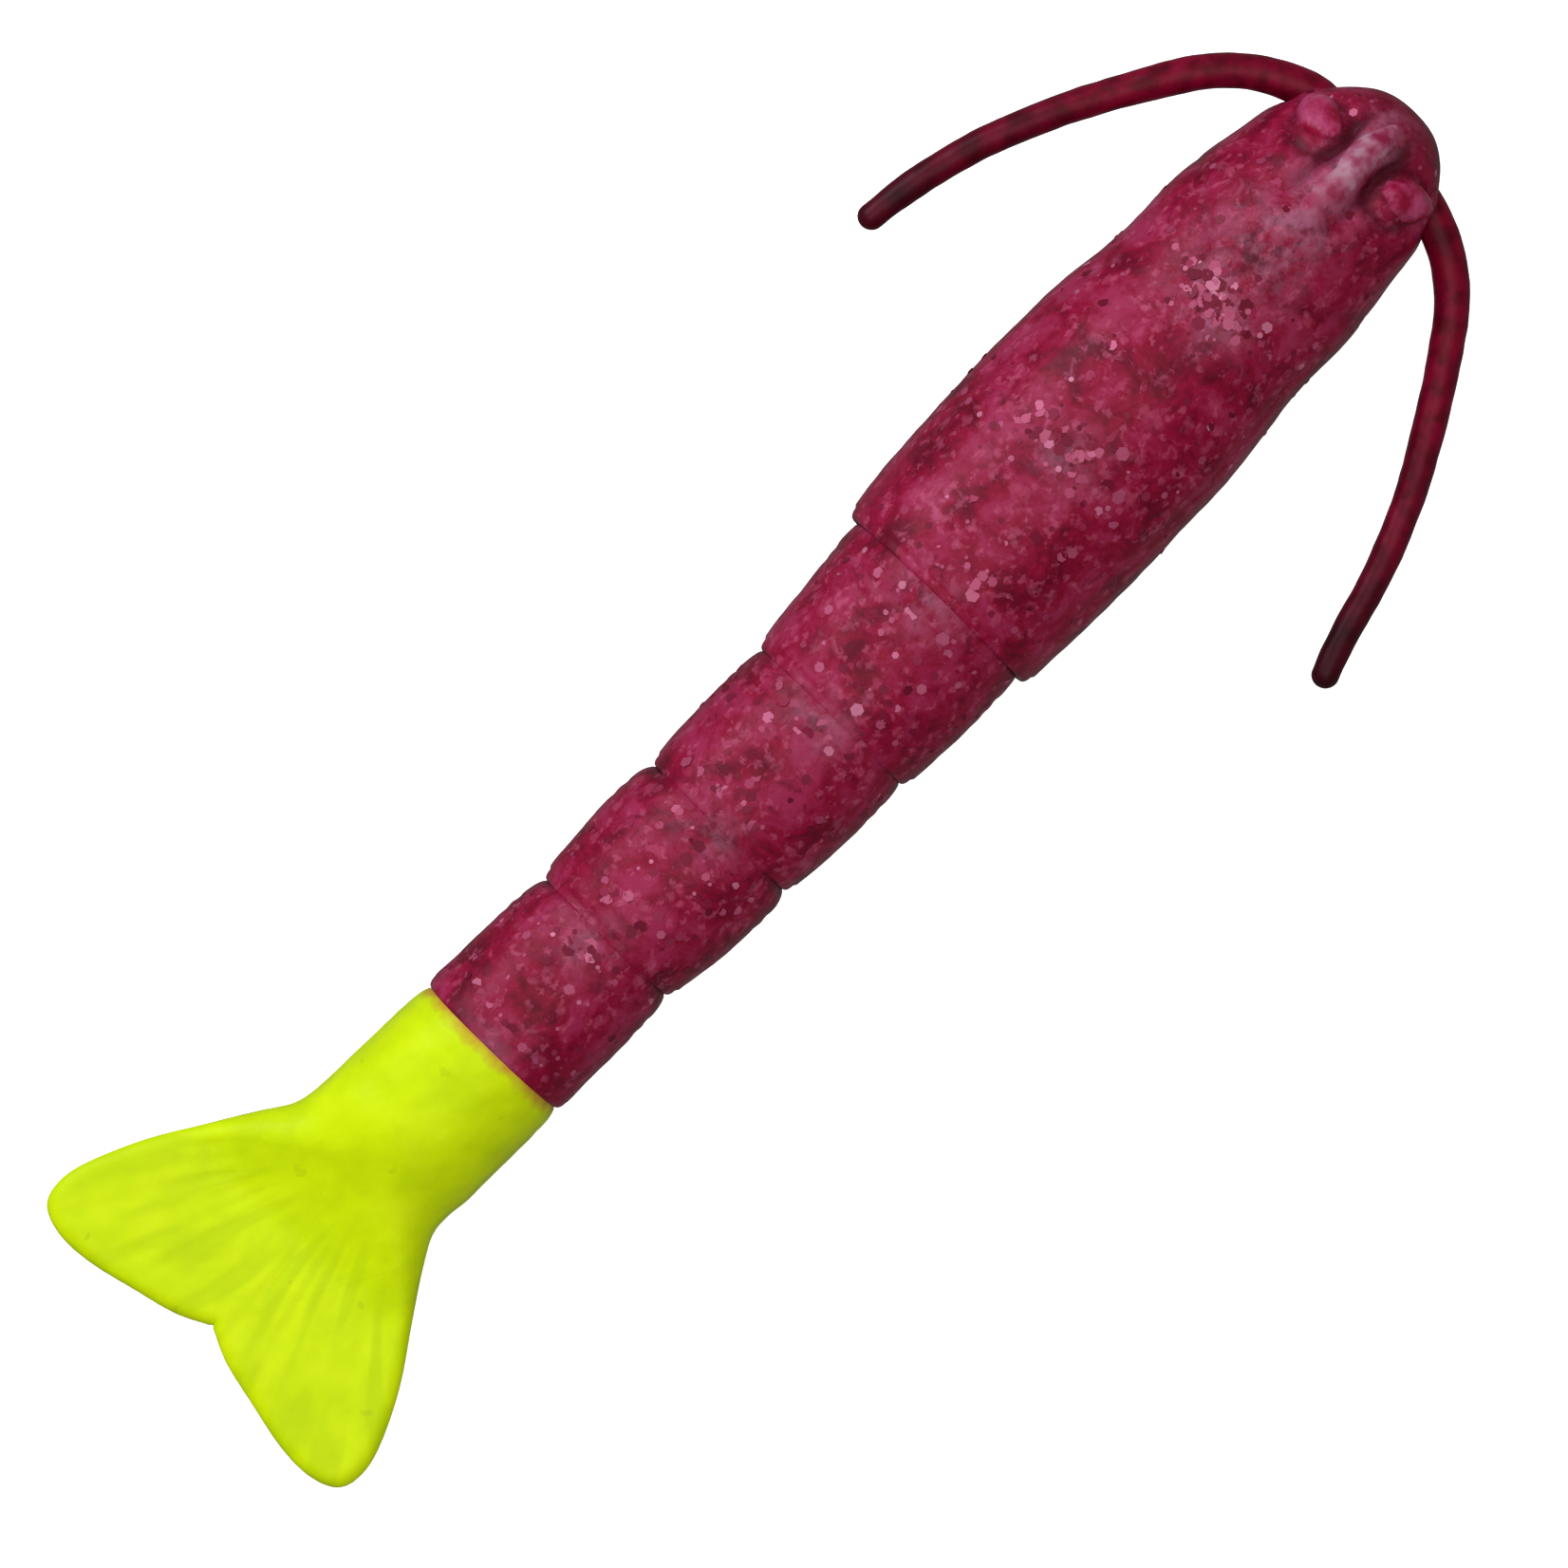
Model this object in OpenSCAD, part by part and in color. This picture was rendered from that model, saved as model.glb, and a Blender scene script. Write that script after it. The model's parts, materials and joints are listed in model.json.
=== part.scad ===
// Shrimp-shaped soft plastic bait: a ringed crimson body, a chartreuse tail with a forked fan,
// and two swept-back antennae. It lies belly down, with its snout towards +X and its left side
// towards +Y. The origin is on the belly flat, below the widest point of the carapace.

/* [Body] */
// Height of the body's centre line above the belly flat
axis_h = 4.6; // [4.5:0.05:4.8]
// Distance from the widest point forward to the tip of the snout
snout_len = 26.5; // [25:0.5:28]
// Length of the head, from the tip of the snout back to the carapace's front edge
head_len = 11.3; // [10.5:0.1:12]
// Distance from the widest point back to the neck groove
carapace_back = 8.2; // [7.5:0.1:9]
// Radius of the carapace at its widest point
body_r = 6.65; // [6.5:0.05:7]
// Radius of the carapace's rear rim
neck_rim_r = 6.2; // [6.1:0.05:6.4]
// Length of one abdomen ring
ring_len = 8; // [7.5:0.1:8.5]
// Radius of the first abdomen ring behind its front shoulder
abdomen_r = 5.6; // [5.5:0.05:5.7]
// Radius of the tail where it meets the fan
tail_r = 4.65; // [4.6:0.05:4.7]
// Length of the chartreuse tail segment
tail_len = 9.2; // [8.8:0.1:10]

/* [Flexing grooves] */
// Clearance between each ring's round front and the cup that holds it
joint_gap = 0.2; // [0.15:0.05:0.25]
// Largest angle that a groove flexes to either side
flex = 18; // [10:1:20]

/* [Eyes and rostrum] */
// Diameter of an eye
eye_d = 3; // [2.6:0.1:3.2]
// Width of the ridge along the top of the head
rostrum_w = 1.2; // [0.8:0.1:1.4]
// Height of that ridge above the head
rostrum_h = 0.6; // [0.4:0.1:0.8]

/* [Antennae] */
// Diameter of an antenna at its root
antenna_d = 1.9; // [1.7:0.1:2]
// Heading of the left antenna where it leaves the head, from the snout's direction
left_heading = 111; // [106:0.5:114]
// Heading of the right antenna, which is splayed a little wider
right_heading = 109; // [104:0.5:114]

/* [Tail fan] */
// Length of the fan behind the tail segment
fan_len = 13.1; // [12.5:0.1:14]
// Half the width across the two lobes
fan_half_w = 10.7; // [10:0.1:11]
// Thickness of a lobe
lobe_t = 1.5; // [1.2:0.1:1.8]
// Depth of the notch between the lobes
notch_depth = 2.2; // [1.8:0.1:2.6]

/* [Glitter] */
// Width of one glitter flake across its corners
flake_d = 0.9; // [0.6:0.1:1]
// Flakes in the carapace
carapace_flakes = 14; // [6:1:18]
// Flakes in one abdomen ring
ring_flakes = 6; // [3:1:8]

/* [Hidden] */
$fn = 96;

crimson = [0.56, 0.10, 0.25];
dark_crimson = [0.36, 0.03, 0.11];
eye_pink = [0.80, 0.42, 0.52];
chartreuse = [0.80, 0.92, 0.08];
flake_pink = [0.86, 0.50, 0.62];

// Lengthwise stations. Groove 1 is the neck, groove 5 the colour seam, groove 6 the fan's root.
left = 1;
right = -1;
head_back = snout_len - head_len;
groove_count = 5;
fan_root_x = -carapace_back - 4 * ring_len - tail_len;
fan_end_x = fan_root_x - fan_len;
function groove_x(k) = -carapace_back - ring_len * (k - 1);

// The rings slim quickly behind the neck, and then run almost straight to the tail
ring_slimming = 0.4;
function ring_front_r(k) = tail_r + (abdomen_r - tail_r) * pow(ring_slimming, k - 1);
function rim_r(k) = k == 1 ? neck_rim_r : ring_front_r(k) + 0.12;
ball_limit = axis_h - 0.1;
function ball_r(k) = min(0.8 * rim_r(k), ball_limit);
shoulder_angle = flex + 3;
edge = 0.35;

// Outline of the head and carapace: radius at a distance x in front of the widest point
function body_outline(x) =
    x > 0
        ? body_r * pow(max(0, 1 - pow(x / snout_len, 3)), 0.385)
        : body_r - (body_r - neck_rim_r) * pow(x / carapace_back, 2);

module at_axis(x) {
    translate([x, 0, axis_h]) children();
}

// Turns an outline of [radius, x] points about the body's centre line
module lathe(outline) {
    rotate([0, 90, 0])
        rotate_extrude()
            polygon(outline);
}

module below_belly() {
    translate([fan_end_x - 5, -30, -20])
        cube([snout_len - fan_end_x + 10, 60, 20]);
}

// ---- glitter ----

flake_t = 0.12;
flake_depth = 0.6;
golden = 0.618;
function fraction(v) = v - floor(v);

// One hexagonal flake lying under the skin, turned by roll about the centre line
module flake(x, radius, roll) {
    at_axis(x)
        rotate([roll, 0, 0])
            translate([0, 0, radius])
                cylinder(d = flake_d, h = flake_t, center = true, $fn = 6);
}

module flakes_in_carapace() {
    for (i = [0 : carapace_flakes - 1]) {
        x = -carapace_back + 2.5 + (head_back + carapace_back - 4) * (i + 0.5) / carapace_flakes;
        flake(x, body_outline(x) - flake_depth, -80 + 160 * fraction(golden * i));
    }
}

module flakes_in_ring(k) {
    for (i = [0 : ring_flakes - 1]) {
        x = groove_x(k) - ring_len * (0.4 + 0.25 * fraction(golden * (i + k)));
        flake(x, ring_front_r(k) - flake_depth, -85 + 170 * (i + 0.5) / ring_flakes);
    }
}

// ---- rings ----

// Skin of ring k: a shoulder that leaves room to flex, a straight flank and a thin rear rim
module ring_skin(k, length, back_r) {
    front_r = ring_front_r(k);
    shoulder_r = front_r - edge;
    at_axis(groove_x(k))
        lathe([
            [0, 0],
            [shoulder_r, -shoulder_r * tan(shoulder_angle)],
            [front_r, -front_r * tan(shoulder_angle) - edge],
            [back_r, -length + edge],
            [back_r - edge / 2, -length],
            [0, -length]
        ]);
}

module ring_ball(k) {
    at_axis(groove_x(k)) sphere(r = ball_r(k));
}

module ring_cup(k) {
    at_axis(groove_x(k)) sphere(r = ball_r(k) + joint_gap);
}

module abdomen(k) {
    color(crimson)
        difference() {
            union() {
                ring_ball(k);
                ring_skin(k, ring_len, rim_r(k + 1));
            }
            ring_cup(k + 1);
            below_belly();
            flakes_in_ring(k);
        }
}

// ---- head and carapace ----

carapace_steps = 8;
head_steps = 12;

module carapace() {
    color(crimson)
        difference() {
            at_axis(0)
                lathe(concat(
                    [[0, -carapace_back]],
                    [for (i = [0 : carapace_steps])
                        let (x = -carapace_back + (head_back + carapace_back) * i / carapace_steps)
                        [body_outline(x), x]],
                    [[0, head_back]]
                ));
            ring_cup(1);
            below_belly();
            rostrum_blade();
            flakes_in_carapace();
        }
}

// The stations crowd together towards the blunt tip
module head() {
    color(crimson)
        difference() {
            at_axis(0)
                lathe(concat(
                    [[0, head_back]],
                    [for (i = [0 : head_steps - 1])
                        let (x = snout_len - head_len * pow(1 - i / head_steps, 2))
                        [body_outline(x), x]],
                    [[0, snout_len]]
                ));
            below_belly();
            rostrum_blade();
            eye_ball(left);
            eye_ball(right);
            antenna_stub(left);
            antenna_stub(right);
        }
}

rostrum_front = snout_len - 1.2;
rostrum_back = head_back - 2.5;
rostrum_steps = 8;
rostrum_root = 0.9;
rostrum_lip = 0.15;

// A thin upright blade that follows the top of the head and fades out at both ends
module rostrum_blade() {
    xs = [for (i = [0 : rostrum_steps]) rostrum_back + (rostrum_front - rostrum_back) * i / rostrum_steps];
    crest_h = [for (i = [0 : rostrum_steps])
        rostrum_lip + (rostrum_h - rostrum_lip) * sin(180 * i / rostrum_steps)];
    crest = [for (i = [0 : rostrum_steps]) [xs[i], body_outline(xs[i]) + crest_h[i]]];
    at_axis(0)
        rotate([90, 0, 0])
            linear_extrude(height = rostrum_w, center = true)
                polygon(concat(
                    crest,
                    [[rostrum_front, body_outline(rostrum_front) - rostrum_root],
                     [rostrum_back, body_outline(rostrum_back) - rostrum_root]]
                ));
}

module rostrum() {
    color(eye_pink) rostrum_blade();
}

eye_x = snout_len - 4.5;
eye_y = 2.8;
eye_sink = 0.5;

// The eye's centre lies a little under the skin, so that most of a half ball stands proud
module eye_ball(side) {
    centre_r = body_outline(eye_x) - eye_sink;
    translate([eye_x, side * eye_y, axis_h + sqrt(pow(centre_r, 2) - pow(eye_y, 2))])
        sphere(d = eye_d);
}

module eye(side) {
    color(eye_pink) eye_ball(side);
}

// ---- antennae ----

// Each antenna is three arcs, one after another: radius of the bend, angle it turns, and radius
// of the antenna there
bend_r = [9, 60, 33];
bend_angle = [36, 7, 18];
whisker_r = [antenna_d / 2, antenna_d / 2 - 0.1, antenna_d / 2 - 0.2];
knuckle_r = [for (r = whisker_r) r + 0.05];
whisker_gap = 0.15;
root_x = snout_len - 3.2;
root_y = 4.9;
stub_len = 2;

function first_heading(side) = side == left ? left_heading : right_heading;
function heading(side, i) = i == 0 ? first_heading(side) : heading(side, i - 1) + bend_angle[i - 1];
function arc_end(point, angle, r, turn) =
    point + r * [sin(angle + turn) - sin(angle), cos(angle) - cos(angle + turn)];
function arc_start(side, i) =
    i == 0
        ? [root_x, root_y]
        : arc_end(arc_start(side, i - 1), heading(side, i - 1), bend_r[i - 1], bend_angle[i - 1]);

// Works in the left side's coordinates, which the right side mirrors
module on_side(side) {
    mirror([0, side == left ? 0 : 1, 0]) children();
}

module at_arc_start(side, i) {
    start = arc_start(side, i);
    translate([start[0], start[1], axis_h]) children();
}

// A ball with its poles on the antenna's own line
module tube_ball(side, i, r) {
    rotate([0, 0, heading(side, i)])
        rotate([0, 90, 0])
            sphere(r = r);
}

// The fixed stub that stands out of the head and ends in a round knuckle
module antenna_stub(side) {
    on_side(side)
        at_arc_start(side, 0) {
            sphere(r = whisker_r[0]);
            rotate([0, 0, heading(side, 0)])
                rotate([0, -90, 0])
                    cylinder(r = whisker_r[0], h = stub_len);
        }
}

module antenna_base(side) {
    color(dark_crimson) antenna_stub(side);
}

// Arc i, hollowed at its start to clear the knuckle before it, with its own knuckle at the end
module antenna(side, i) {
    held_r = knuckle_r[max(0, i - 1)];
    color(dark_crimson)
        on_side(side)
            difference() {
                union() {
                    at_arc_start(side, i)
                        rotate([0, 0, heading(side, i) - 90])
                            translate([-bend_r[i], 0, 0])
                                rotate_extrude(angle = bend_angle[i])
                                    translate([bend_r[i], 0]) circle(r = whisker_r[i]);
                    at_arc_start(side, i + 1) tube_ball(side, i + 1, knuckle_r[i]);
                }
                at_arc_start(side, i) tube_ball(side, i, held_r + whisker_gap);
            }
}

// ---- tail ----

fan_ball_r = 2.9;
fan_step = 1;
fan_root_t = 3.2;
shoulder_y = tail_r + 0.4;
lobe_corner_r = 2.3;
fold_gap = 0.3;
notch_x = fan_end_x + notch_depth;

module tail_segment() {
    color(chartreuse)
        difference() {
            union() {
                ring_ball(groove_count);
                ring_skin(groove_count, tail_len, tail_r);
            }
            at_axis(fan_root_x) sphere(r = fan_ball_r + joint_gap);
            below_belly();
        }
}

// Each lobe folds about a straight line from the fan's shoulder to the notch
fold_start = [fan_root_x - 2.6, 5.2];
fold_end = [notch_x, 1.1];
fold_run = fold_end - fold_start;
fold_angle = atan2(fold_run[1], fold_run[0]);
fold_length = norm(fold_run);
fold_side = [-sin(fold_angle), cos(fold_angle)];
core_offset = lobe_t / 2 + fold_gap;
core_front = fold_start + core_offset * fold_side;
core_back = fold_end + core_offset * fold_side;

// The wedge in the middle of the fan: thick at its round root, as thin as the lobes at the notch
module tail_fan_base() {
    color(chartreuse)
        at_axis(0)
            union() {
                translate([fan_root_x, 0, 0]) sphere(r = fan_ball_r);
                intersection() {
                    linear_extrude(height = fan_root_t, center = true)
                        polygon([
                            [fan_root_x - fan_step, 0],
                            [fan_root_x - fan_step, shoulder_y],
                            core_front,
                            [core_back[0], max(0, core_back[1])],
                            [core_back[0], -max(0, core_back[1])],
                            [core_front[0], -core_front[1]],
                            [fan_root_x - fan_step, -shoulder_y]
                        ]);
                    rotate([90, 0, 0])
                        linear_extrude(height = 2 * fan_half_w, center = true)
                            polygon([
                                [fan_root_x, fan_root_t / 2],
                                [fan_root_x, -fan_root_t / 2],
                                [notch_x, -lobe_t / 2],
                                [notch_x, lobe_t / 2]
                            ]);
                }
            }
}

// A flat lobe with a rounded outer corner, and a round edge on its fold line
module fin(side) {
    corner = [fan_end_x + lobe_corner_r, fan_half_w - lobe_corner_r];
    color(chartreuse)
        on_side(side)
            at_axis(0)
                union() {
                    linear_extrude(height = lobe_t, center = true) {
                        polygon([
                            fold_start,
                            fold_start + [0.3, 1.1],
                            [corner[0] + 1.1, fan_half_w - 0.25],
                            corner,
                            [fan_end_x, corner[1]],
                            [fan_end_x + 0.4, corner[1] - 2 * lobe_corner_r],
                            fold_end
                        ]);
                        translate(corner) circle(r = lobe_corner_r);
                    }
                    translate([fold_start[0], fold_start[1], 0])
                        rotate([0, 0, fold_angle])
                            rotate([0, 90, 0])
                                cylinder(d = lobe_t, h = fold_length);
                }
}

module glitter_carapace() {
    color(flake_pink) flakes_in_carapace();
}

module glitter_ring(k) {
    color(flake_pink) flakes_in_ring(k);
}

head();
carapace();
rostrum();
eye(left);  // eye_left
eye(right);  // eye_right
antenna_base(left);  // antenna_base_left
antenna(left, 0);  // antenna_left_root
antenna(left, 1);  // antenna_left_mid
antenna(left, 2);  // antenna_left_tip
antenna_base(right);  // antenna_base_right
antenna(right, 0);  // antenna_right_root
antenna(right, 1);  // antenna_right_mid
antenna(right, 2);  // antenna_right_tip
abdomen(1);  // abdomen_1
abdomen(2);  // abdomen_2
abdomen(3);  // abdomen_3
abdomen(4);  // abdomen_4
tail_segment();
tail_fan_base();
fin(left);  // fin_left
fin(right);  // fin_right
glitter_carapace();
glitter_ring(1);  // glitter_abdomen_1
glitter_ring(2);  // glitter_abdomen_2
glitter_ring(3);  // glitter_abdomen_3
glitter_ring(4);  // glitter_abdomen_4
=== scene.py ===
"""Looks for a shrimp-shaped soft plastic bait.

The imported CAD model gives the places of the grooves, hinges and tips. Around them this script lofts
soft skins for the carapace, the rings, the tail and the fan, sweeps the antennae, and scatters
glitter. Lengths are in millimetres until a mesh is made, and +X points to the snout.
"""
import json
import math

import bmesh
import bpy
import numpy as np
from mathutils import Matrix, Vector, noise


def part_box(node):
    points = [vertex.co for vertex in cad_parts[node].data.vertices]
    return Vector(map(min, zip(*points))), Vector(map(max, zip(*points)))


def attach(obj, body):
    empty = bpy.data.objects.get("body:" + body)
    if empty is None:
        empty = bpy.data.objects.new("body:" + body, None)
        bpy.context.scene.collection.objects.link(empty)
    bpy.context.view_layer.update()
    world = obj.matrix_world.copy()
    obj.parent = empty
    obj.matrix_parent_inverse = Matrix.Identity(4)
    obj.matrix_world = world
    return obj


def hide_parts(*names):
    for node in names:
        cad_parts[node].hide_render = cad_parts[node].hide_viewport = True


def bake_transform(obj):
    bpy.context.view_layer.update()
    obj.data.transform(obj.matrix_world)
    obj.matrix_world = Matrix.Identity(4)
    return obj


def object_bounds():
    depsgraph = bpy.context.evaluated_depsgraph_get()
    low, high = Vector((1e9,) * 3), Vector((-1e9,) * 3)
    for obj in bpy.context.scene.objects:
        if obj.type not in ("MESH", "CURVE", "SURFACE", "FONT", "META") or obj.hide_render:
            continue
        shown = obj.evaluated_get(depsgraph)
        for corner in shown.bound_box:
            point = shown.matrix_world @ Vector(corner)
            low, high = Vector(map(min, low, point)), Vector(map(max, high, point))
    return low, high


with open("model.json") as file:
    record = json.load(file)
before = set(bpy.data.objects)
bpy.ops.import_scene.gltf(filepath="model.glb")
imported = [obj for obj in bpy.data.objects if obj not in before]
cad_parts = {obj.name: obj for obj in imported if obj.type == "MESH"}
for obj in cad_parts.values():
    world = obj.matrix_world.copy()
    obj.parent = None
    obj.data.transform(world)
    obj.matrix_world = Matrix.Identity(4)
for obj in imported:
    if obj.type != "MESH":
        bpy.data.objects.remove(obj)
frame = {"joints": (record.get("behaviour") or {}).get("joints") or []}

CAD_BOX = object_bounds()
MM = 0.001
CAP_ANGLE = math.radians(62)  # edges sharper than this, such as those of a flat end, shade as edges

# ---- places taken from the frame ----

JOINTS = {j["name"]: j for j in frame["joints"]}


def joint_point(name):
    return np.array(JOINTS[name]["pos_m"], float) / MM


def box_mm(node):
    low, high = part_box(node)
    return np.array(low) / MM, np.array(high) / MM


GROOVES = [joint_point(name)[0] for name in (
    "neck_sway", "waist_bend", "waist_sway", "tail_bend", "tail_sway")]
NECK_X = GROOVES[0]
SEAM_X = GROOVES[4]
FAN_X, _, AXIS_Z = joint_point("fan_kick")
NOSE_X = box_mm("head")[1][0]
HEAD_BACK_X = box_mm("head")[0][0]
FAN_END_X = box_mm("fin_left")[0][0]
FAN_HALF_W = box_mm("fin_left")[1][1]
CARAPACE_R = box_mm("carapace")[1][1]
EYE_CENTRE = sum(box_mm("eye_left")) / 2
EYE_R = (box_mm("eye_left")[1][0] - box_mm("eye_left")[0][0]) / 2
BELLY = AXIS_Z  # depth of the belly below the centre line

rng = np.random.default_rng(7)

# ---- small helpers ----


def ease(low, high, v):
    """0 below low, 1 above high and a smooth step between them."""
    t = np.clip((np.asarray(v, float) - low) / (high - low), 0, 1)
    return t * t * (3 - 2 * t)


def window(v, rise_from, rise_to, fall_from, fall_to):
    """0 before rise_from, 1 from rise_to to fall_from, and 0 again past fall_to."""
    return ease(rise_from, rise_to, v) * (1 - ease(fall_from, fall_to, v))


def hump(v, centre, width):
    return np.exp(-((np.asarray(v, float) - centre) / width) ** 2)


def unit(v):
    return v / np.linalg.norm(v)


def full_turn(count):
    return np.linspace(0, 2 * np.pi, count, endpoint=False)


def along_curve(points, count, steps_per_span=24):
    """count points evenly spaced along a smooth curve through the given ones (Catmull-Rom)."""
    p = np.asarray(points, float)
    p = np.vstack([2 * p[0] - p[1], p, 2 * p[-1] - p[-2]])
    fine = []
    for a, b, c, d in zip(p[:-3], p[1:-2], p[2:-1], p[3:]):
        t = np.linspace(0, 1, steps_per_span, endpoint=False)[:, None]
        fine.append(0.5 * (2 * b + (c - a) * t + (2 * a - 5 * b + 4 * c - d) * t**2
                           + (3 * b - a - 3 * c + d) * t**3))
    fine = np.vstack(fine + [p[-2][None]])
    return resample(fine, count)


def resample(points, count):
    step = np.r_[0, np.cumsum(np.linalg.norm(np.diff(points, axis=0), axis=1))]
    want = np.linspace(0, step[-1], count)
    return np.stack([np.interp(want, step, points[:, k]) for k in range(points.shape[1])], axis=1)


def at_length(s, lengths, values):
    """The row of values at length s along a path."""
    return np.array([np.interp(s, lengths, column) for column in values.T])


# The soft body has taken a slight set: its centre line wanders to either side
SET_POINTS_X = (-64, -57, -51, -46, -40, -32, -24, -17, -12, -7, 4, 18, 22, 27)
SET_POINTS_Y = (0.5, 0.52, 0.66, 0.3, 0.14, -0.09, -0.36, -0.53, -0.47, -0.2, -0.06, -0.06, -0.22, -0.48)


def smooth_curve(xs, ys, blur=4.0):
    """The same curve with its corners rounded over about blur along x."""
    fine = np.linspace(xs[0], xs[-1], 400)
    kernel = np.hanning(2 * int(blur / (fine[1] - fine[0]) / 2) + 1)
    raw = np.pad(np.interp(fine, xs, ys), len(kernel) // 2, mode="edge")
    return fine, np.convolve(raw, kernel / kernel.sum(), mode="valid")


SET_CURVE = smooth_curve(SET_POINTS_X, SET_POINTS_Y)


def soft_set(points):
    """Shifts points sideways with the set."""
    moved = np.array(points, float)
    moved[..., 1] += np.interp(moved[..., 0], *SET_CURVE)
    return moved


LUMP_SIZES = ((2.6, 0.050), (1.1, 0.030), (0.6, 0.014))  # size across and height of the skin's lumps


def lumps(points):
    """How far the skin stands out at each point, as uneven pouring leaves it."""
    points = np.asarray(points, float)
    height = np.zeros(len(points))
    for size, amount in LUMP_SIZES:
        height += [amount * noise.noise(Vector(p / size)) for p in points]
    return height


def placed(name, data):
    """A new object in the scene."""
    made = bpy.data.objects.new(name, data)
    bpy.context.scene.collection.objects.link(made)
    return made


def make_piece(name, verts, faces, material, slot, follow_set=True):
    """A smooth mesh piece, with its resting place in millimetres kept for the materials."""
    verts = np.asarray(verts, float)
    if follow_set:
        verts = soft_set(verts)
    verts[:, 2] = np.maximum(verts[:, 2], 0.0)
    mesh = bpy.data.meshes.new(name)
    mesh.from_pydata((verts * MM).tolist(), [], [tuple(map(int, f)) for f in faces])
    shell = bmesh.new()
    shell.from_mesh(mesh)
    bmesh.ops.recalc_face_normals(shell, faces=shell.faces)
    for edge in shell.edges:
        edge.smooth = edge.calc_face_angle(0) < CAP_ANGLE
    shell.to_mesh(mesh)
    shell.free()
    rest = mesh.attributes.new("rest_mm", "FLOAT_VECTOR", "POINT")
    rest.data.foreach_set("vector", verts.astype(np.float32).ravel())
    mesh.shade_smooth()
    mesh.materials.append(material)
    piece = placed(name, mesh)
    return piece


def mark(piece, name, values):
    """Stores a number on every point, which the material reads by that name."""
    made = piece.data.attributes.new(name, "FLOAT", "POINT")
    made.data.foreach_set("value", np.asarray(values, np.float32))


def loft(loops):
    """Vertices and faces of a closed skin through equal loops, with a fan over each end."""
    loops = np.asarray(loops, float)
    count, size, _ = loops.shape
    verts = loops.reshape(-1, 3)
    i = np.arange(size)
    j = (i + 1) % size
    faces = [np.stack([k * size + i, (k + 1) * size + i, (k + 1) * size + j, k * size + j], axis=1)
             for k in range(count - 1)]
    quads = np.vstack(faces)
    first, last = len(verts), len(verts) + 1
    verts = np.vstack([verts, loops[0].mean(0), loops[-1].mean(0)])
    end = (count - 1) * size
    caps = [(first, a, b) for a, b in zip(i, j)] + [(last, end + b, end + a) for a, b in zip(i, j)]
    return verts, [tuple(q) for q in quads] + caps


# ---- materials ----


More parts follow.
